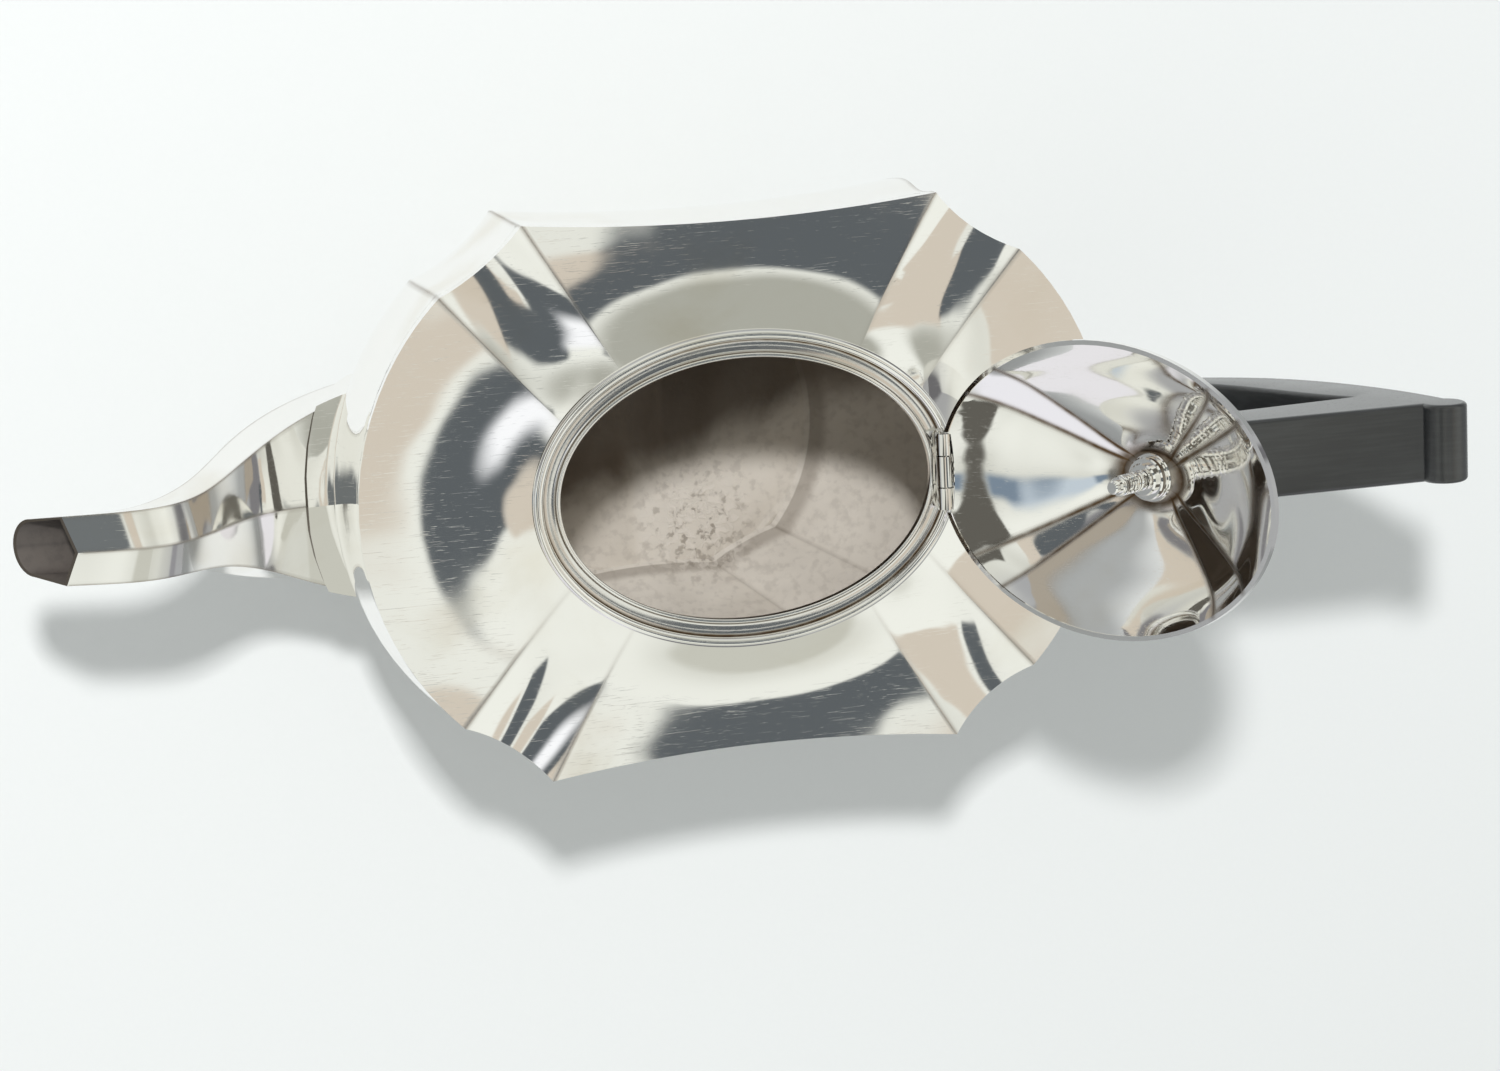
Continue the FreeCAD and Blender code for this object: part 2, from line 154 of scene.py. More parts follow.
def polishedSilver(name, look, mask=None):
    material, g, at = startMaterial(name)
    cloud = g.noise(at, look["cloudScale"], 4.0, 0.6)
    fine = g.noise(at, look["fineScale"], 2.0)
    strokes = [g.noise(g.stretched(at, hair["scale"], hair["turn"]), 1.0, 2.0, 0.8).step(*hair["edge"])
               for hair in look["hairs"]]
    hairs = strokes[0] + strokes[1]
    colour = cloud.step(0.5, 0.78).blend(look["bright"], look["warm"])
    rough = look["rough"] + look["cloudRough"] * cloud.step(0.45, 0.8)
    rough = rough + look["hairRough"] * hairs.clip() + look["fineRough"] * fine
    if mask:
        stain = (g.mark(mask) * (0.7 + 0.7 * g.noise(at, look["stainScale"], 5.0))).clip()
        colour = stain.blend(colour, look["tarnish"])
        rough = rough + look["stainRough"] * stain
    wave = g.noise(at, look["waveScale"], 1.0)
    swell = g.node("ShaderNodeBump", None, {"Strength": 1.0, "Distance": look["wave"], "Height": wave})
    scratches = {"Strength": look["scratchStrength"], "Distance": look["scratch"],
                 "Height": hairs, "Normal": swell}
    bump = g.node("ShaderNodeBump", None, scratches)
    endMaterial(g, {"Base Color": colour, "Metallic": 1.0, "Roughness": rough.clip(), "Normal": bump})
    return material


# the far side of the inside is darkened as painted shade, standing in for the shadow the mouth casts inside,
# and scale is a patch of lime on the floor
inside = dict(pale=(0.95, 0.89, 0.80, 1), brown=(0.21, 0.165, 0.125, 1), metal=0.12, rough=0.42,
              paintedShade=0.9, paintedShadeFrom=-0.004, paintedShadeOver=0.010, tilt=0.3,
              broadScale=26.0, grainScale=520.0, spotScale=480.0, relief=0.0003,
              broadDark=0.22, grainDark=0.16, nearDark=0.5, lineDark=0.5, floorCornerShadeDark=0.45,
              floorCornerShade=(0.0055, 0.0057, 0.0066, 0.0080),      # heights where the painted shade at the floor starts, is full, ebbs and ends
              scale=(0.88, 0.82, 0.74, 1), scalePlace=(0.0105, -0.0225, 0.005), scaleReach=0.015)
# the spout's inside: a much darker finish, with painted shade on its far side as in the pot
throat = dict(inside, pale=(0.15, 0.13, 0.115, 1), brown=(0.020, 0.018, 0.022, 1),
              paintedShade=0.5, paintedShadeOver=0.022, tilt=0.0)


def dullInside(name, look):
    material, g, at = startMaterial(name)
    broad = g.noise(at, look["broadScale"], 5.0, 0.8)
    grain = g.noise(at, look["grainScale"], 4.0)
    spots = g.noise(at, look["spotScale"], 6.0, 1.2).step(0.46, 0.58)
    away = g.vector("DISTANCE", {0: at, 1: look["scalePlace"]}, "Value")
    near = 1.0 - (away + 0.012 * broad).step(0.5 * look["scaleReach"], 1.5 * look["scaleReach"])
    scale = (spots * near).clip()
    length, far, height = [g.node("ShaderNodeSeparateXYZ", None, {0: at}, axis) for axis in "XYZ"]
    # painted shade: past a slanted line the far side of the inside is darkened, standing in for shadow there;
    # random broad stains are added to it
    edge = far - look["tilt"] * length + 0.02 * broad
    paintedShade = look["paintedShade"] * edge.step(look["paintedShadeFrom"], look["paintedShadeFrom"] + look["paintedShadeOver"])
    stainAndPaintedShade = look["broadDark"] * broad.step(0.36, 0.72) + paintedShade
    colour = stainAndPaintedShade.clip().blend(look["pale"], look["brown"])
    dust = look["grainDark"] * grain.step(0.45, 0.7) + look["nearDark"] * (near * grain.step(0.5, 0.62))
    colour = dust.clip().blend(colour, look["brown"])
    # painted shade: a dark band up the wall just above the floor, in the corner where wall and floor meet
    floorCornerShade = height.step(*look["floorCornerShade"][:2]) * (1.0 - height.step(*look["floorCornerShade"][2:]))
    creaseTarnishAndFloorShade = look["lineDark"] * g.mark("stain") + look["floorCornerShadeDark"] * floorCornerShade  # tarnish in the creases, painted shade round the floor
    colour = creaseTarnishAndFloorShade.clip().blend(colour, look["brown"])
    colour = scale.blend(colour, look["scale"])
    rough = look["rough"] + 0.2 * broad + 0.3 * scale
    relief = {"Strength": 0.35, "Distance": look["relief"], "Height": grain + 2.0 * scale}
    bump = g.node("ShaderNodeBump", None, relief)
    metal = (look["metal"] - look["metal"] * scale).clip()
    endMaterial(g, {"Base Color": colour, "Metallic": metal, "Roughness": rough.clip(), "Normal": bump})
    return material


ebony = dict(dark=(0.011, 0.012, 0.013, 1), worn=(0.022, 0.024, 0.025, 1), rough=0.34,
             gloss=0.7, coat=0.8, coatRough=0.25, cloudScale=60.0, poreScale=2100.0, relief=0.00003,
             grainScale=(90.0, 1600.0, 420.0), grainTurn=(0.0, 0.25, 0.0))


def ebonisedWood():
    material, g, at = startMaterial("ebonisedWood")
    grain = g.noise(g.stretched(at, ebony["grainScale"], ebony["grainTurn"]), 1.0, 4.0)
    cloud = g.noise(at, ebony["cloudScale"], 3.0)
    pores = g.noise(at, ebony["poreScale"], 2.0).step(0.55, 0.75)
    wear = (0.6 * grain.step(0.4, 0.7) + 0.3 * cloud.step(0.4, 0.7)).clip()
    colour = wear.blend(ebony["dark"], ebony["worn"])
    rough = ebony["rough"] + 0.10 * cloud + 0.08 * pores
    relief = {"Strength": 0.12, "Distance": ebony["relief"], "Height": grain + 0.5 * pores}
    bump = g.node("ShaderNodeBump", None, relief)
    endMaterial(g, {"Base Color": colour, "Roughness": rough.clip(), "Normal": bump,
                    "Specular IOR Level": ebony["gloss"], "Coat Weight": ebony["coat"],
                    "Coat Roughness": ebony["coatRough"]})
    return material


plainSilver = polishedSilver("polishedSilver", silver)
stainedSilver = polishedSilver("stainedSilver", silver, "stain")
seamShadeSilver = polishedSilver("seamShadeSilver", seamShade)
innerSilver = dullInside("dullInside", inside)
spoutInside = dullInside("spoutInside", throat)
wood = ebonisedWood()
print("materials made")


def splineThrough(knots, count):
    knots = np.array(knots, float)
    t = np.concatenate([[0.0], np.cumsum(np.linalg.norm(np.diff(knots, axis=0), axis=1))])
    h = np.diff(t)
    system = np.eye(len(t))
    right = np.zeros_like(knots)
    for i in range(1, len(t) - 1):
        system[i, i - 1:i + 2] = h[i - 1], 2 * (h[i - 1] + h[i]), h[i]
        right[i] = 6 * ((knots[i + 1] - knots[i]) / h[i] - (knots[i] - knots[i - 1]) / h[i - 1])
    bend = np.linalg.solve(system, right)
    ts = np.linspace(0, t[-1], count)
    k = np.clip(np.searchsorted(t, ts) - 1, 0, len(t) - 2)
    w = h[k][:, None]
    d = (ts - t[k])[:, None]
    e = w - d
    curve = (bend[k] * e ** 3 + bend[k + 1] * d ** 3) / (6 * w)
    return curve + (knots[k] / w - bend[k] * w / 6) * e + (knots[k + 1] / w - bend[k + 1] * w / 6) * d


def finishMesh(mesh, angle=22.0):
    mesh.validate()
    mesh.shade_smooth()
    mesh.set_sharp_from_angle(angle=math.radians(angle))


def reworkMesh(mesh, change):
    work = bmesh.new()
    work.from_mesh(mesh)
    change(work)
    work.to_mesh(mesh)
    work.free()


def outward(mesh):
    reworkMesh(mesh, lambda work: bmesh.ops.recalc_face_normals(work, faces=work.faces))


def cleanSlivers(mesh):
    reworkMesh(mesh, lambda work: bmesh.ops.dissolve_degenerate(work, dist=tiny, edges=work.edges))


def pieceFrom(name, points, faces, materials, faceSlots=None, stain=None):
    mesh = bpy.data.meshes.new(name)
    mesh.from_pydata((np.array(points) * mm).tolist(), [], faces)
    for material in materials:
        mesh.materials.append(material)
    if faceSlots is not None:
        mesh.polygons.foreach_set("material_index", np.array(faceSlots, np.int32))
    if stain is not None:
        layer = mesh.attributes.new("stain", "FLOAT", "POINT")
        layer.data.foreach_set("value", np.array(stain, np.float32))
    piece = bpy.data.objects.new(name, mesh)
    scene.collection.objects.link(piece)
    return piece


def bandFaces(pairs, around):
    faces = []
    for low, high in pairs:                      # where two neighbouring rings start
        for i in range(around):
            n = (i + 1) % around
            faces.append((low + i, low + n, high + n, high + i))
    return faces


def wallPiece(name, rings, materials, ringSlots=None, stain=None, angle=22.0):
    rings = np.array(rings)                      # rings go up the outside and back down the inside
    count, around = rings.shape[:2]
    faces = bandFaces([(j * around, (j + 1) % count * around) for j in range(count)], around)
    slots = np.repeat(ringSlots, around) if ringSlots else None
    piece = pieceFrom(name, rings.reshape(-1, 3), faces, materials, slots, stain)
    finishMesh(piece.data, angle)
    return piece


def turnedPiece(name, profile, materials, steps=96, angle=28.0):
    points = []
    faces = []
    rows = []                                    # each profile point is a ring, or one point on the axis
    turns = np.linspace(0, 2 * math.pi, steps, endpoint=False)
    for radius, z in profile:
        start = len(points)
        if radius < 1e-6:
            points.append((0, 0, z))
            rows.append([start] * steps)
        else:
            points += [(radius * math.cos(t), radius * math.sin(t), z) for t in turns]
            rows.append(list(range(start, start + steps)))
    closed = profile[0][0] > 1e-6
    pairs = list(zip(rows, rows[1:])) + ([(rows[-1], rows[0])] if closed else [])
    for low, high in pairs:
        for i in range(steps):
            n = (i + 1) % steps
            loop = [low[i], low[n], high[n], high[i]]
            loop = [v for k, v in enumerate(loop) if v not in loop[:k]]
            if len(loop) > 2:
                faces.append(loop)
    piece = pieceFrom(name, points, faces, materials)
    finishMesh(piece.data, angle)
    return piece


def boxPiece(name, low, high):
    x0, y0, z0 = low
    x1, y1, z1 = high
    points = [(x, y, z) for z in (z0, z1) for y in (y0, y1) for x in (x0, x1)]
    faces = [(0, 2, 3, 1), (4, 5, 7, 6), (0, 1, 5, 4), (2, 6, 7, 3), (0, 4, 6, 2), (1, 3, 7, 5)]
    return pieceFrom(name, points, faces, [])


def applyModifiers(piece):
    bpy.context.view_layer.update()
    graph = bpy.context.evaluated_depsgraph_get()
    piece.data = bpy.data.meshes.new_from_object(piece.evaluated_get(graph))
    piece.modifiers.clear()


def carve(piece, cutter, angle=22.0, operation="DIFFERENCE"):
    cut = piece.modifiers.new("carve", "BOOLEAN")
    cut.operation = operation
    cut.material_mode = "TRANSFER"               # a cut face takes the cutter's finish
    cut.solver = "EXACT"
    cut.object = cutter
    applyModifiers(piece)
    bpy.data.objects.remove(cutter)
    cleanSlivers(piece.data)
    finishMesh(piece.data, angle)


def treeInputs(tree, kinds):
    ids = {}
    for name, kind in kinds.items():
        socket = tree.interface.new_socket(name, in_out="INPUT", socket_type="NodeSocket" + kind)
        ids[name] = socket.identifier
    start = Wire(tree).node("NodeGroupInput").socket.node.outputs
    return ids, [Wire(tree, start[i]) for i in range(len(kinds))]


def runTree(piece, tree, ids, values):
    nodes = piece.modifiers.new(tree.name, "NODES")
    nodes.node_group = tree
    for key, value in values.items():
        nodes[ids[key]] = value
    applyModifiers(piece)


def dress(piece, body, slot, *nodes):
    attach(piece, body)
    if nodes:
        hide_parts(*nodes)


# eight arcs round the pot: corner A closes the ends, corner B the long sides
vessel = dict(floorZ=5.0, neckZ=78.8, rimZ=80.0, wall=1.3, arcSteps=28, levels=46,
              creaseLine=0.45, creaseDark=0.5,
              rim=dict(ax=57.5, ay=41.5, bx=41.0, by=53.8, end=17.6, corner=-1.4, side=-2.4),
              base=dict(ax=27.0, ay=24.5, bx=12.8, by=31.0, end=9.0, corner=-0.5, side=-0.7),
              inset=dict(ax=0.62, ay=0.62, bx=0.35, by=0.95, end=0.38, corner=0.0, side=0.0),
              swell=[(0.0, 0.0), (0.06, 0.19), (0.17, 0.44), (0.34, 0.72), (0.54, 0.93),
                     (0.74, 1.02), (0.88, 0.99), (0.96, 0.985), (1.0, 1.0)],
              reach=34.0)                        # weighs swell against height along the profile


def insetOutline(o, depth):
    return {key: value - depth * vessel["inset"][key] for key, value in o.items()}


def arcShape(steps):
    return np.sin(np.linspace(-1, 1, steps, endpoint=False) * math.pi / 2)  # crowded towards the creases


def outlineRing(o):
    ax, ay, bx, by = o["ax"], o["ay"], o["bx"], o["by"]
    corners = np.array([(ax, -ay), (ax, ay), (bx, by), (-bx, by),
                        (-ax, ay), (-ax, -ay), (-bx, -by), (bx, -by)])
    bows = ["end", "corner", "side", "corner"] * 2
    u = arcShape(vessel["arcSteps"])
    ring = []
    for i, bow in enumerate(bows):
        p, q = corners[i], corners[(i + 1) % 8]
        half = np.linalg.norm(q - p) / 2
        along = (q - p) / (2 * half)
        out = np.array([along[1], -along[0]])
        h = o[bow]
        radius = (half * half + h * h) / (2 * abs(h))
        angle = 2 * math.atan2(abs(h), half)
        side = math.copysign(1, h) * (radius * np.cos(u * angle) - radius * math.cos(angle))
        ring.append((p + q) / 2 + np.outer(radius * np.sin(u * angle), along) + np.outer(side, out))
    return np.concatenate(ring)


def ridgeWeights():
    return np.tile(arcShape(vessel["arcSteps"]) ** 2, 8)


def creaseMarks(rings, steps, width):
    rings = np.array(rings)                      # dark line along each crease, width in mm
    share = (1 - abs(arcShape(steps))) / 2       # of a panel, to the nearer crease
    corners = rings[:, ::steps]
    sides = np.linalg.norm(np.roll(corners, -1, 1) - corners, axis=2)
    return np.exp(-(sides[:, :, None] * share / width) ** 2).reshape(len(rings), -1)


def atHeight(ring, z):
    return np.column_stack([ring, np.broadcast_to(z, len(ring))])


def bodyRings(depth):
    reach = vessel["reach"]
    height = vessel["neckZ"] - vessel["floorZ"]
    knots = [(rise * height, share * reach) for rise, share in vessel["swell"]]
    rings = []
    for z, share in splineThrough(knots, vessel["levels"]):
        outline = {k: v + share / reach * (vessel["rim"][k] - v) for k, v in vessel["base"].items()}
        rings.append(atHeight(outlineRing(insetOutline(outline, depth)), vessel["floorZ"] + z))
    return rings


def solidBody(name, depth=0.0):
    rings = np.array(bodyRings(depth))
    count, around = rings.shape[:2]
    faces = [tuple(range(around))[::-1], tuple(range((count - 1) * around, count * around))]
    faces += bandFaces([(j * around, (j + 1) * around) for j in range(count - 1)], around)
    return pieceFrom(name, rings.reshape(-1, 3), faces, [seamShadeSilver])


strainer = dict(hole=2.4, pitch=5.0, rows=4, z=40.0, start=-76.7, length=38.0, sides=24)


def strainerTree():
    tree = bpy.data.node_groups.new("strainerHoles", "GeometryNodeTree")
    kinds = dict(Pot="Geometry", hole="Float", length="Float", centres="Object", metal="Material")
    ids, (pot, hole, length, centres, metal) = treeInputs(tree, kinds)
    tree.interface.new_socket("Pierced", in_out="OUTPUT", socket_type="NodeSocketGeometry")
    g = Wire(tree)
    where = g.node("GeometryNodeObjectInfo", None, {"Object": centres}, "Geometry")
    drill = {"Vertices": strainer["sides"], "Radius": hole * 0.5, "Depth": length}
    drill = g.node("GeometryNodeMeshCylinder", None, drill)
    lying = {"Points": where, "Instance": drill, "Rotation": (0.0, math.pi / 2, 0.0)}
    drills = g.node("GeometryNodeInstanceOnPoints", None, lying)
    drills = g.node("GeometryNodeRealizeInstances", None, {0: drills})
    coated = g.node("GeometryNodeSetMaterial", None, {"Geometry": drills, "Material": metal})
    pierced = g.node("GeometryNodeMeshBoolean", dict(operation="DIFFERENCE", solver="EXACT"),
                     {"Mesh 1": pot, "Mesh 2": coated})
    g.node("NodeGroupOutput", None, {"Pierced": pierced})
    return tree, ids


def pierceStrainer(piece):
    centres = []
    for row in range(strainer["rows"]):
        count = strainer["rows"] - row % 2
        z = strainer["z"] + (row - (strainer["rows"] - 1) / 2) * strainer["pitch"]
        for i in range(count):
            y = (i - (count - 1) / 2) * strainer["pitch"]
            centres.append((strainer["start"] + strainer["length"] / 2, y, z))
    marks = pieceFrom("strainerCentres", centres, [], [])
    sizes = dict(hole=strainer["hole"] * mm, length=strainer["length"] * mm)
    runTree(piece, *strainerTree(), dict(sizes, centres=marks, metal=innerSilver))
    bpy.data.objects.remove(marks)
    cleanSlivers(piece.data)
    finishMesh(piece.data)


potWall = bodyRings(0) + bodyRings(vessel["wall"])[::-1]
potSlots = [0] * vessel["levels"] + [1] * (vessel["levels"] - 1) + [0]
potMarks = vessel["creaseDark"] * creaseMarks(potWall, vessel["arcSteps"], vessel["creaseLine"])
bodyShell = wallPiece("bodyShell", potWall, [stainedSilver, innerSilver], potSlots, potMarks.ravel())
pierceStrainer(bodyShell)
dress(bodyShell, "pot", "silver", "body_shell")
print("body:", len(bodyShell.data.polygons), "faces")


mouth = dict(length=84.8, width=61.8, creaseA=32.0, creaseB=55.5, rise=3.0, thick=0.9, ridge=1.4, steps=36,
             fade=(0.9, 0.15),                   # of the crease lines, from the rim to the collar
             span=22.0,                          # width of the cover, to weigh the cove's table
             cove=[(0.0, 0.0), (0.22, 0.03), (0.45, 0.14), (0.65, 0.33), (0.83, 0.62), (1.0, 1.0)])


def ovalTurns(first, second):
    quarter = [-first, first, second, 180 - second]
    turns = quarter + [180 + t for t in quarter] + [360 - first]
    share = (arcShape(vessel["arcSteps"]) + 1) / 2
    return np.radians(np.concatenate([a + share * (b - a) for a, b in zip(turns, turns[1:])]))


def ovalRing(a, b, turns):
    return np.column_stack([a * np.cos(turns), b * np.sin(turns)])


def shoulderRings(depth, drop):
    rim = outlineRing(insetOutline(vessel["rim"], depth))
    oval = ovalRing(mouth["length"] / 2, mouth["width"] / 2, ovalTurns(mouth["creaseA"], mouth["creaseB"]))
    knots = [(s * mouth["span"], r * mouth["rise"]) for s, r in mouth["cove"]]
    rings = []
    for along, rise in splineThrough(knots, mouth["steps"]):
        s = along / mouth["span"]
        z = vessel["rimZ"] + rise - drop + mouth["ridge"] * (1 - s) * ridgeWeights()
        rings.append(atHeight(rim + s * (oval - rim), z))
    return rings


rimFoot = atHeight(outlineRing(vessel["rim"]), vessel["neckZ"])
rimInner = atHeight(outlineRing(insetOutline(vessel["rim"], vessel["wall"])), vessel["neckZ"])
coverRings = [rimFoot] + shoulderRings(0, 0)
coverRings += shoulderRings(vessel["wall"], mouth["thick"])[::-1] + [rimInner]
coverSlots = [0] * (mouth["steps"] + 1) + [1] * mouth["steps"] + [0]
coverMarks = vessel["creaseDark"] * creaseMarks(coverRings, vessel["arcSteps"], vessel["creaseLine"])
coverMarks[1:mouth["steps"] + 1] *= np.linspace(*mouth["fade"], mouth["steps"])[:, None]
shoulder = wallPiece("shoulderCover", coverRings, [stainedSilver, innerSilver],
                     coverSlots, coverMarks.ravel())
dress(shoulder, "pot", "silver", "shoulder")
print("shoulder:", len(shoulder.data.polygons), "faces")


hinge = dict(x=39.5, z=85.2, knuckle=1.8, gap=0.5, half=7.45, open=121.0,
             headroom=20.0)                      # the notch is cut this far up
collar = dict(seat=83.0, thick=1.0, bead=2.0, beadHigh=1.6, beadRound=0.45, ledge=2.6, dip=0.45,
              lip=0.9, lipHigh=0.5, lipRound=0.3, steps=240, smooth=40.0)


def arcPoints(cx, cz, radius, first, last, count):
    turns = np.radians(np.linspace(first, last, count))
    return [(cx + radius * math.cos(t), cz + radius * math.sin(t), 0.0) for t in turns]


def hingeNotch(name):
    left = hinge["x"] - hinge["knuckle"] - hinge["gap"]
    half = hinge["half"] + hinge["gap"]
    top = collar["seat"] + hinge["headroom"]
    return boxPiece(name, (left, -half, collar["seat"]), (2 * hinge["x"], half, top))


def collarRings():
    seat, bead, edge = collar["seat"], collar["bead"], collar["lipRound"]
    top = seat + collar["beadHigh"]
    rounding = collar["beadRound"] * bead
    lipIn = bead + collar["ledge"]
    lipOut = lipIn + collar["lip"]
    lipTop = seat + collar["lipHigh"] - edge
    low = seat - collar["thick"]
    profile = [(0.0, low, 0.0), (0.0, low + 0.5, 0.3)]      # way in, height and stain
    profile += arcPoints(rounding, top - rounding, rounding, 180, 90, 9)
    profile += arcPoints(bead - rounding, top - rounding, rounding, 90, 0, 9)
    profile += [(bead, seat + 0.25, 0.8), (bead + 0.12, seat + 0.03, 1.0), (bead + 0.32, seat - 0.03, 0.7)]
    cove = np.linspace(0.22, 0.88, 7)            # the seat is a shallow cove, dull only in its corners
    profile += [(bead + f * collar["ledge"], seat - collar["dip"] * f * (1 - f), 0.12) for f in cove]
    profile += [(lipIn - 0.1, seat + 0.02, 0.8), (lipIn, seat + 0.14, 0.5)]
    profile += arcPoints(lipIn + edge, lipTop, edge, 180, 90, 5)
    profile += arcPoints(lipOut - edge, lipTop, edge, 90, 0, 5)
    profile += [(lipOut, low + 0.1, 0.4), (lipOut - 0.1, low, 0.4)]
    turns = np.linspace(0, 2 * math.pi, collar["steps"], endpoint=False)
    a, b = mouth["length"] / 2, mouth["width"] / 2
    rings = [atHeight(ovalRing(a - d, b - d, turns), z) for d, z, _ in profile]
    stain = np.repeat([s for _, _, s in profile], collar["steps"])
    return rings, stain


collarWall, collarStain = collarRings()
mouthCollar = wallPiece("mouthCollar", collarWall, [stainedSilver], None, collarStain, collar["smooth"])
carve(mouthCollar, hingeNotch("collarNotch"), collar["smooth"])
dress(mouthCollar, "pot", "silver", "mouth_collar")
print("collar:", len(mouthCollar.data.polygons), "faces")


# a section: ridge x and z, keel x and z (from the rim), half width at the upper edges and at the lower ones
spout = dict(wall=1.1, slant=1.1, footThick=0.9, footReach=5.2, footLevels=36, upper=0.2, lower=0.7,
             levels=72, edgeSteps=12, edgeLine=0.3, edgeDark=0.45, smooth=16.0,
             roundFrom=-112.0, roundOver=14.0, thinFrom=-108.0, thinOver=18.0, thinBy=0.55,
             lipTop=(-128.0, 1.0), lipEnd=(-137.8, -11.0),
             sections=[(-64.0, -23.0, -50.0, -58.0, 21.5, 22.0), (-77.0, -22.5, -66.0, -56.0, 18.2, 19.8),
                       (-88.5, -20.0, -82.0, -46.0, 13.0, 16.8), (-97.5, -11.5, -94.5, -33.0, 8.9, 12.8),
                       (-106.0, -1.2, -105.5, -20.0, 7.0, 8.2), (-115.0, 3.0, -117.0, -11.5, 6.8, 6.1),
                       (-128.0, 1.0, -128.5, -10.5, 6.6, 5.6), (-143.0, -2.0, -142.0, -12.5, 6.4, 5.4)])


def towardsLip(x, start, over):
    return min(max((start - x) / over, 0), 1)


def spoutRings(depth):
    rings = []
    for tx, tz, kx, kz, half, lowHalf in splineThrough(spout["sections"], spout["levels"]):
        length = math.hypot(kx - tx, kz - tz)
        thin = spout["thinBy"] * towardsLip(tx, spout["thinFrom"], spout["thinOver"])
        wall = depth * (1 - thin)
        start = spout["slant"] * wall
        span = length - 2 * start
        wide = half - wall
        low = lowHalf - wall
        shape = [(0.0, 0.0), (spout["upper"], -wide), (spout["lower"], -low), (1.0, 0.0),
                 (spout["lower"], low), (spout["upper"], wide)]
        bend = towardsLip(tx, spout["roundFrom"], spout["roundOver"])      # the keel rounds off at the lip
        ring = []
        for i, (a, y) in enumerate(shape):
            b, yb = shape[(i + 1) % 6]
            for f in (arcShape(spout["edgeSteps"]) + 1) / 2:
                down, side = a + f * (b - a), y + f * (yb - y)
                if i in (2, 3):
                    turn = (f + i - 3) * math.pi / 2
                    down += bend * (spout["lower"] + (1 - spout["lower"]) * math.cos(turn) - down)
                    side += bend * (low * math.sin(turn) - side)
                d = (start + down * span) / length
                ring.append((tx + d * (kx - tx), side, vessel["rimZ"] + tz + d * (kz - tz)))
        rings.append(ring)
    return rings


def lipCutter():
    far, half = 160, 13                          # well past the spout on every side
    (tx, tz), (ex, ez) = spout["lipTop"], spout["lipEnd"]
    dx, dz = ex - tx, ez - tz
    side = [(tx - dx, tz - dz), (ex + dx, ez + dz), (ex + dx - far, ez + dz), (tx - dx - far, tz - dz + far)]
    points = [(x, y, vessel["rimZ"] + z) for y in (-half, half) for x, z in side]
    faces = [(0, 1, 2, 3), (7, 6, 5, 4), (0, 4, 5, 1), (1, 5, 6, 2), (2, 6, 7, 3), (3, 7, 4, 0)]
    cutter = pieceFrom("lipCutter", points, faces, [seamShadeSilver])
    outward(cutter.data)
    return cutter


pipe = spoutRings(0) + spoutRings(spout["wall"])[::-1]
pipeSlots = [0] * spout["levels"] + [1] * spout["levels"]
pipeMarks = spout["edgeDark"] * creaseMarks(pipe, spout["edgeSteps"], spout["edgeLine"])
spoutPiece = wallPiece("spoutNeck", pipe, [stainedSilver, spoutInside],
                       pipeSlots, pipeMarks.ravel(), spout["smooth"])
outward(spoutPiece.data)
carve(spoutPiece, lipCutter(), spout["smooth"])
carve(spoutPiece, solidBody("bodyCutter"), spout["smooth"])
dress(spoutPiece, "pot", "silver", "spout")
print("spout:", len(spoutPiece.data.polygons), "faces")

levels = spout["footLevels"]
sleeve = spoutRings(-spout["footThick"])[:levels] + spoutRings(0)[:levels][::-1]
spoutFoot = wallPiece("spoutFoot", sleeve, [plainSilver], None, None, spout["smooth"])
outward(spoutFoot.data)
carve(spoutFoot, solidBody("footReach", -spout["footReach"]), spout["smooth"], "INTERSECT")
carve(spoutFoot, solidBody("bodyCutter"), spout["smooth"])
dress(spoutFoot, "pot", "silver", "spout_foot")
print("spout foot:", len(spoutFoot.data.polygons), "faces")


lid = dict(a=40.0, b=28.5, bottom=83.9, band=1.2, depth=16.5, wall=0.9, bore=1.9, flatten=0.45,
           creaseA=35.0, creaseB=50.0, creaseLine=0.6, lineFade=0.35, hubReach=0.07, hubDark=0.9,
           levels=44, smooth=9.0,
           swell=[(0.0, 1.0), (0.22, 0.90), (0.50, 0.68), (0.74, 0.43), (0.90, 0.26), (1.0, 0.18)])
lidTurns = ovalTurns(lid["creaseA"], lid["creaseB"])


def lidRing(a, b, share, rise, z):
    steps = vessel["arcSteps"]
    oval = ovalRing(a * share, b * share, lidTurns)
    flat = lid["flatten"] + (1 - lid["flatten"]) * abs(2 * rise - 1) ** 2
    f = ((arcShape(steps) + 1) / 2)[:, None]
    ring = oval.copy()
    for i in range(8):
        p, q = oval[i * steps], oval[((i + 1) % 8) * steps]
        chord = p + f * (q - p)
        part = slice(i * steps, (i + 1) * steps)
        ring[part] = chord + flat * (oval[part] - chord)
    return atHeight(ring, z)


def lidRings(depth, drop):
    a, b = lid["a"] - depth, lid["b"] - depth
    tall = lid["depth"] - lid["band"]
    z0 = lid["bottom"] + lid["band"] - drop
    table = splineThrough([(r * tall, s * lid["a"]) for r, s in lid["swell"]], lid["levels"])
    foot = atHeight(ovalRing(a, b, lidTurns), lid["bottom"])
    return [foot] + [lidRing(a, b, s / lid["a"], rise / tall, z0 + rise) for rise, s in table]


def boreRing(z):
    x, y = ovalRing(lid["a"], lid["b"], lidTurns).T
    return atHeight(ovalRing(lid["bore"], lid["bore"], np.arctan2(y, x)), z)


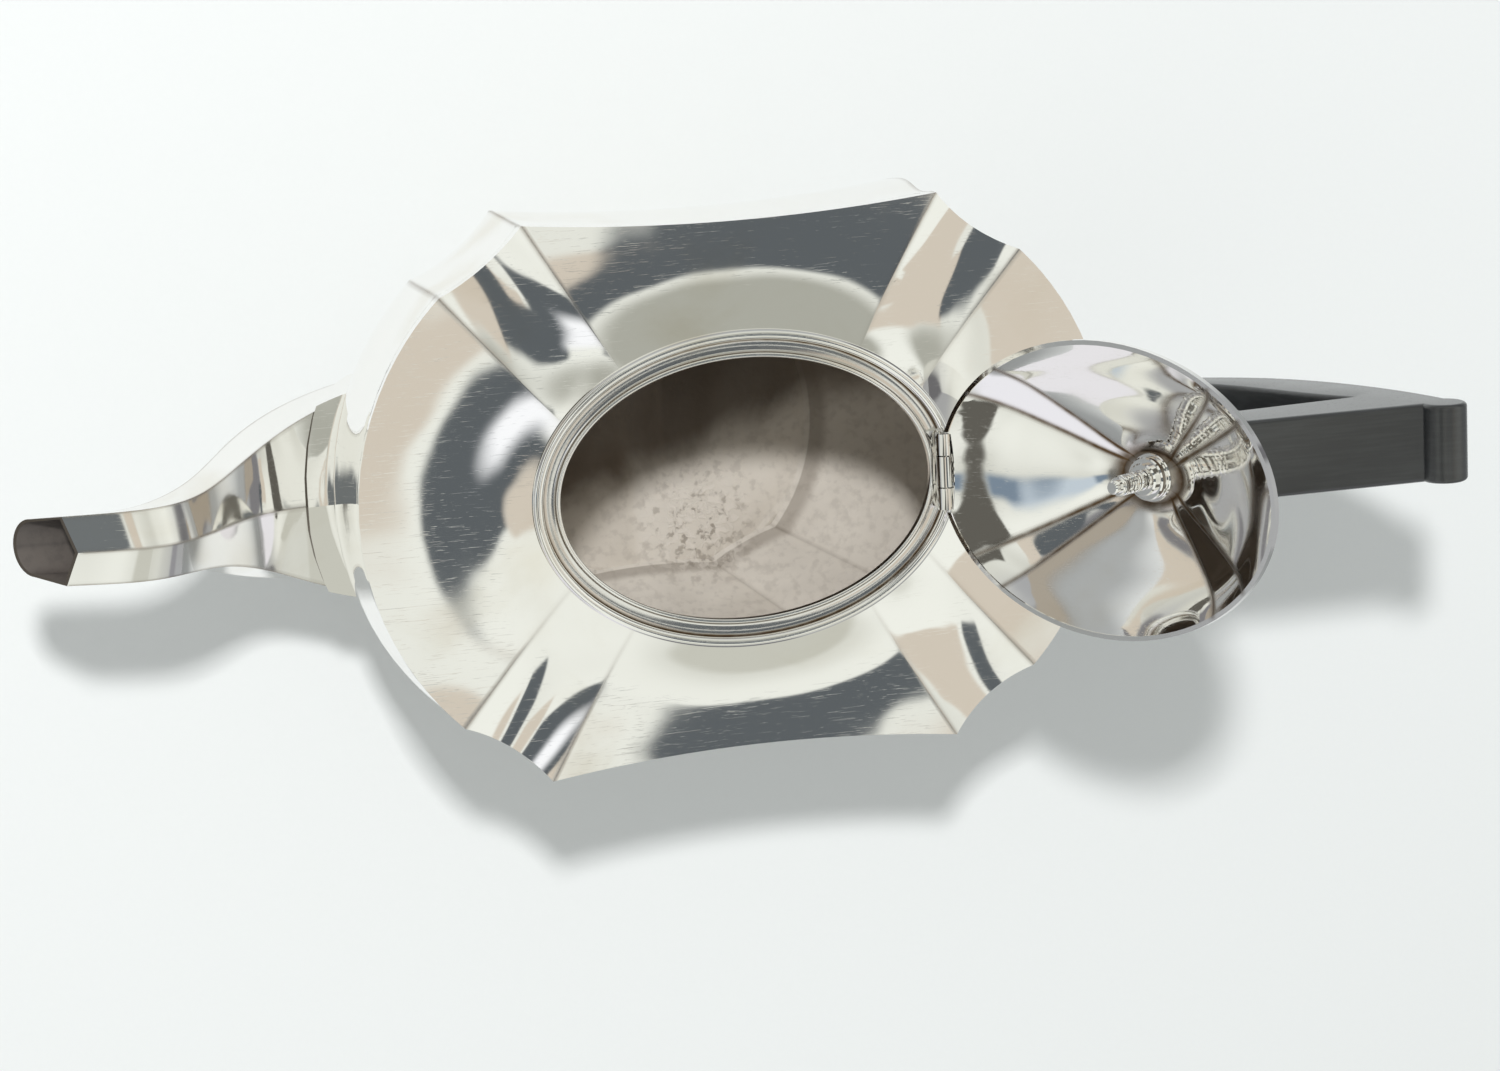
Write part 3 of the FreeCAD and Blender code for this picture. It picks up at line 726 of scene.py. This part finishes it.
def lidStain(rings):
    along = np.linspace(0, 1, lid["levels"] + 1)[:, None]      # from the stud out to the rim
    lines = creaseMarks(rings, vessel["arcSteps"], lid["creaseLine"])[-len(along):]
    hub = lid["hubDark"] * np.exp(-(along / lid["hubReach"]) ** 2)
    inner = np.maximum((1 - lid["lineFade"] * along) * lines, hub)
    return np.concatenate([np.zeros((len(rings) - len(inner), inner.shape[1])), inner])


lidTop = lid["bottom"] + lid["depth"]
under = lidTop - lid["wall"]                     # inside of the dome, where the washer seats
domeRings = lidRings(0, 0) + [boreRing(lidTop), boreRing(under)] + lidRings(lid["wall"], lid["wall"])[::-1]
lidShell = wallPiece("lidShell", domeRings, [stainedSilver], None, lidStain(domeRings).ravel(), lid["smooth"])
carve(lidShell, hingeNotch("lidNotch"), lid["smooth"])

# side profiles as radius and height: base above the lid, knob above the base
finial = dict(stud=1.9, root=1.8, tip=1.3, tipLow=87.0, low=88.6, top=108.5, bevel=0.25, chamfer=0.3,
              threadPitch=0.7, threadDepth=0.2, threadStart=0.4, threadShort=0.5,
              nut=4.2, nutHigh=2.6, nutStep=3.2, nutStepHigh=1.0,
              washer=4.8, washerHigh=0.8, washerEdge=0.2,
              base=[(5.75, 0.0), (6.0, 0.25), (5.7, 0.6), (4.6, 1.3), (4.2, 1.6)],
              knob=[(4.2, 0), (5.4, 1.9), (6.6, 5.2), (5.0, 8.2), (1.5, 9.5)], knobSteps=28)
nutTop = under - finial["washerHigh"]
nutLow = nutTop - finial["nutHigh"]


def finialPieces():
    bore, root, tip, bevel = finial["stud"], finial["root"], finial["tip"], finial["bevel"]
    nut, nutStep, stepZ = finial["nut"], finial["nutStep"], nutLow + finial["nutStepHigh"]
    tipLow, low, chamfer = finial["tipLow"], finial["low"], finial["chamfer"]
    washer, edge = finial["washer"], finial["washerEdge"]
    stud = [(0, tipLow), (tip - bevel, tipLow), (tip, tipLow + bevel), (tip, low), (bore - chamfer, low),
            (root, low + bevel), (root, finial["top"]), (0, finial["top"])]
    nutSide = [(bore, nutLow), (nutStep - chamfer, nutLow), (nutStep, nutLow + chamfer), (nutStep, stepZ),
               (nut - bevel, stepZ), (nut, stepZ + bevel), (nut, nutTop - bevel), (nut - bevel, nutTop),
               (bore, nutTop)]
    washerSide = [(bore, nutTop), (washer - edge, nutTop), (washer, nutTop + edge),
                  (washer, under), (bore, under)]
    knobLow = lidTop + finial["base"][-1][1]
    base = [(bore, lidTop)] + [(r, lidTop + z) for r, z in finial["base"]] + [(bore, knobLow)]
    knob = [(r, knobLow + z) for r, z in splineThrough(finial["knob"], finial["knobSteps"])]
    knob = [(0.0, knobLow)] + knob + [(0.0, knobLow + finial["knob"][-1][1])]
    return {"finial_stud": turnedPiece("finialStud", stud, [stainedSilver]),
            "finial_nut": turnedPiece("finialNut", nutSide, [plainSilver]),
            "finial_washer": turnedPiece("finialWasher", washerSide, [stainedSilver]),
            "finial_base": turnedPiece("finialBase", base, [plainSilver]),
            "finial_knob": turnedPiece("finialKnob", knob, [wood])}


def threadTree():
    tree = bpy.data.node_groups.new("studThread", "GeometryNodeTree")
    kinds = dict(turns="Float", radius="Float", depth="Float", height="Float", low="Float", metal="Material")
    ids, (turns, radius, depth, height, low, metal) = treeInputs(tree, kinds)
    tree.interface.new_socket("Thread", in_out="OUTPUT", socket_type="NodeSocketGeometry")
    g = Wire(tree)
    helix = {"Resolution": 36, "Rotations": turns, "Height": height,
             "Start Radius": radius, "End Radius": radius}
    helix = g.node("GeometryNodeCurveSpiral", None, helix)
    edge = g.node("GeometryNodeCurvePrimitiveCircle", None, {"Resolution": 6, "Radius": depth})
    ridge = g.node("GeometryNodeCurveToMesh", None, {"Curve": helix, "Profile Curve": edge, "Fill Caps": True})
    lift = g.node("ShaderNodeCombineXYZ", None, {"Z": low})
    placed = g.node("GeometryNodeTransform", None, {"Geometry": ridge, "Translation": lift})
    whole = g.node("GeometryNodeRealizeInstances", None, {0: placed})
    coated = g.node("GeometryNodeSetMaterial", None, {"Geometry": whole, "Material": metal})
    g.node("NodeGroupOutput", None, {"Thread": coated})
    return tree, ids


def threadPiece():
    piece = pieceFrom("studThread", [(0, 0, 0)], [], [])
    height = nutLow - finial["low"] - finial["threadShort"]      # clear of the nut and the stud's shoulder
    sizes = dict(radius=finial["root"] * mm, depth=finial["threadDepth"] * mm,
                 height=height * mm, low=(finial["low"] + finial["threadStart"]) * mm)
    runTree(piece, *threadTree(), dict(sizes, turns=height / finial["threadPitch"], metal=stainedSilver))
    outward(piece.data)
    finishMesh(piece.data, 50.0)
    return piece


centre = Vector((hinge["x"], 0, hinge["z"])) * mm
turn = Matrix.Rotation(math.radians(hinge["open"]), 4, "Y")
swing = Matrix.Translation(centre) @ turn @ Matrix.Translation(-centre)
lidPieces = dict(lid_shell=lidShell, **finialPieces())
threads = threadPiece()
for node, piece in lidPieces.items():
    piece.data.transform(swing)
    dress(piece, "lid", "ebonised" if node == "finial_knob" else "silver", node)
threads.data.transform(swing)
dress(threads, "lid", "silver")
print("lid:", len(lidShell.data.polygons), "faces")


def smoothCopy(name, node, material, body, slot):
    mesh = frame["nodes"][node].data.copy()
    reworkMesh(mesh, lambda work: bmesh.ops.remove_doubles(work, verts=work.verts, dist=tiny))
    mesh.name = name
    mesh.materials.clear()
    mesh.materials.append(material)
    finishMesh(mesh, 30.0)
    piece = bpy.data.objects.new(name, mesh)
    scene.collection.objects.link(piece)
    dress(piece, body, slot, node)


silverFittings = dict(upperSocket="upper_handle_socket", lowerSocket="lower_handle_socket",
                      upperPin="upper_handle_pin", lowerPin="lower_handle_pin",
                      hingeBracket="hinge_bracket", hingePin="hinge_pin", footRim="foot_rim")
smoothCopy("handleGrip", "handle_grip", wood, "pot", "ebonised")
for name, node in silverFittings.items():
    smoothCopy(name, node, plainSilver, "pot", "silver")
smoothCopy("basePlate", "base_plate", innerSilver, "pot", "silver")
smoothCopy("lidKnuckle", "lid_knuckle", plainSilver, "lid", "silver")
print("fittings dressed")


studio = dict(floor=(0.85, 0.866, 0.861, 1), floorReach=1.5, floorFade=(0.45, 0.97),
              weaveShade=0.985, weaveScale=900.0,
              matReach=(0.11, 0.42), matEnd=(0.34, 0.35, 0.355, 1),      # a darker mat, for reflections only
              sky=(0.97, 1.0, 0.99), skyLevel=0.575,
              lampPlace=(-0.312, 0.559, 1.30), lampAim=(0.0, 0.0, 0.05), lampSize=0.09, lampPower=12.4,
              lens=100.46, eye=(-209.05, 150.32, 845.16),
              right=(0.96067, -0.04744, 0.27360), up=(0.09900, 0.97907, -0.17784))
tent = dict(bend=0.16, bendScale=3.0, shadeScale=1.7, shadeEdge=(0.35, 0.65),
            pale=(0.90, 0.92, 0.86, 1), dim=(0.66, 0.67, 0.61, 1),
            horizon=(0.40, 0.41, 0.42, 1), horizonHigh=0.45, flagBlue=1.06, flagSoft=0.03)
slate, beige = (0.110, 0.124, 0.134), (0.66, 0.60, 0.51)
# what the polished metal sees: edges right and up of the camera in degrees, softness, colour
cards = [((12, 46), (-2, 26), 3.0, (0.42, 0.425, 0.375)),
         ((34, 62), (-76, -54), 5.0, (0.58, 0.585, 0.52)),
         ((38, 52), (-36, -14), 1.2, beige),
         ((34, 49), (-16, -2.5), 1.0, beige),
         ((23, 29), (-27.5, -23.8), 0.7, beige),
         ((24, 29), (-20.2, -16), 0.7, beige),
         ((16, 35), (-17, -4), 0.8, slate),
         ((28.5, 35), (-21.5, -15), 0.7, slate),
         ((6, 22.5), (-23.5, -9), 0.8, slate),
         ((30.5, 36.5), (-37, -24), 0.7, slate),
         ((1, 6.5), (-26, -8), 0.7, beige),
         ((10.5, 16.5), (-16, -7.5), 2.0, (1.0, 1.02, 1.05)),
         ((-10, 10), (9, 22), 1.5, (0.16, 0.175, 0.18)),
         ((12, 19), (18, 30), 1.0, beige),
         ((-44, -34), (-23, -13), 3.0, (0.55, 0.63, 0.70)),
         ((-37, -27), (-24, -14), 2.5, (0.20, 0.26, 0.33)),
         ((-26.8, -12), (-72, 44), 1.2, (0.12, 0.115, 0.10)),
         ((-47, -40), (18, 40), 1.0, beige),
         ((-52, -47), (-10, 30), 1.0, slate),
         ((-76, -60), (40, 76), 2.0, (0.40, 0.36, 0.30))]
# upright flags round the horizon: turn and half width in degrees, low and high as rise, level
flags = [(35.0, 16.0, -0.05, 0.50, 0.16),
         (150.0, 20.0, 0.02, 0.42, 0.22),
         (280.0, 14.0, -0.05, 0.38, 0.18),
         (236.0, 26.0, 0.02, 0.55, 0.86),
         (310.0, 10.0, 0.05, 0.55, 0.30)]


def cameraAxes():
    right = Vector(studio["right"]).normalized()
    up = Vector(studio["up"])
    up = (up - right * up.dot(right)).normalized()
    return right, up, right.cross(up)


def makeCamera():
    right, up, back = cameraAxes()
    camera = bpy.data.cameras.new("camera")
    camera.lens = studio["lens"]
    camera.sensor_width = 36.0
    camera.sensor_fit = "HORIZONTAL"
    camera.clip_end = 50.0
    holder = bpy.data.objects.new("camera", camera)
    scene.collection.objects.link(holder)
    turn = Matrix((right, up, back)).transposed().to_4x4()
    holder.matrix_world = Matrix.Translation(Vector(studio["eye"]) * mm) @ turn
    scene.camera = holder


def makeFloor():
    reach = studio["floorReach"]
    turns = np.linspace(0, 2 * math.pi, 96, endpoint=False)
    rim = [(reach / mm * math.cos(t), reach / mm * math.sin(t), 0) for t in turns]
    floor = pieceFrom("floor", rim, [tuple(range(len(rim)))], [])
    material, g, at = startMaterial("paleFloor")
    shaded = tuple(studio["weaveShade"] * c for c in studio["floor"][:3]) + (1,)
    colour = g.noise(at, studio["weaveScale"], 2.0).blend(studio["floor"], shaded)
    away = g.vector("LENGTH", {0: at}, "Value")
    glossy = g.node("ShaderNodeLightPath", None, None, "Is Glossy Ray")
    colour = (glossy * away.step(*studio["matReach"])).blend(colour, studio["matEnd"])
    solid = 1.0 - away.step(*[f * reach for f in studio["floorFade"]])
    endMaterial(g, {"Base Color": colour, "Roughness": 0.7, "Specular IOR Level": 0.1, "Alpha": solid})
    floor.data.materials.append(material)


def makeLamp():
    lamp = bpy.data.lights.new("softbox", "AREA")
    lamp.shape = "SQUARE"
    lamp.size = studio["lampSize"]
    lamp.energy = studio["lampPower"]
    holder = bpy.data.objects.new("softbox", lamp)
    scene.collection.objects.link(holder)
    place = Vector(studio["lampPlace"])
    aim = (Vector(studio["lampAim"]) - place).to_track_quat("-Z", "Y")
    holder.visible_glossy = False                # the metal shows the cards, not the lamp
    holder.matrix_world = Matrix.Translation(place) @ aim.to_matrix().to_4x4()


def tentColour(g):
    way = g.node("ShaderNodeTexCoord", None, None, "Generated")
    bend = g.noise(way, tent["bendScale"], 2.0, 0.0, 1)      # cards with slightly wavy edges
    bend = g.vector("SUBTRACT", {0: bend, 1: (0.5, 0.5, 0.5)})
    bend = g.vector("SCALE", {0: bend, "Scale": tent["bend"]})
    way = g.vector("NORMALIZE", {0: g.vector("ADD", {0: way, 1: bend})})
    right, up, back = cameraAxes()

    def along(axis):
        return g.vector("DOT_PRODUCT", {0: way, 1: axis}, "Value")

    def between(value, low, high, soft):
        return value.step(low - soft, low + soft) * (1.0 - value.step(high - soft, high + soft))

    rise = along(Vector((0, 0, 1)))
    shade = g.noise(way, tent["shadeScale"], 1.0).step(*tent["shadeEdge"])
    seen = shade.blend(tent["pale"], tent["dim"])
    seen = (1.0 - rise.step(0.0, tent["horizonHigh"])).blend(seen, tent["horizon"])
    for turn, wide, low, high, level in flags:
        aim = Vector((math.cos(math.radians(turn)), math.sin(math.radians(turn)), 0.0))
        facing = along(aim).step(math.cos(math.radians(wide + 2)), math.cos(math.radians(wide - 2)))
        mask = facing * between(rise, low, high, tent["flagSoft"])
        seen = mask.blend(seen, (level, level, tent["flagBlue"] * level, 1))
    front = along(back)
    ahead = front.step(0.0, 0.06)
    depth = front.calc("MAXIMUM", front, 0.02)
    sideways = along(right) / depth
    upwards = along(up) / depth
    for rightEdges, upEdges, soft, colour in cards:
        edges = [[math.tan(math.radians(a)) for a in pair] for pair in (rightEdges, upEdges)]
        soft = math.radians(soft)
        mask = between(sideways, *edges[0], soft) * between(upwards, *edges[1], soft) * ahead
        seen = mask.blend(seen, tuple(colour) + (1,))
    return seen


def makeWorld():
    world = bpy.data.worlds.new("tent")
    world.use_nodes = True
    scene.world = world
    world.node_tree.nodes.clear()
    g = Wire(world.node_tree)
    glossy = g.node("ShaderNodeLightPath", None, None, "Is Glossy Ray")
    camera = g.node("ShaderNodeLightPath", None, None, "Is Camera Ray")
    dome = tuple(c * studio["skyLevel"] for c in studio["sky"]) + (1,)
    colour = glossy.blend(dome, tentColour(g))
    colour = camera.blend(colour, tuple(studio["sky"]) + (1,))
    light = g.node("ShaderNodeBackground", None, {"Color": colour, "Strength": 1.0})
    g.node("ShaderNodeOutputWorld", None, {"Surface": light})


makeCamera()
makeFloor()
makeLamp()
makeWorld()
print("studio ready")
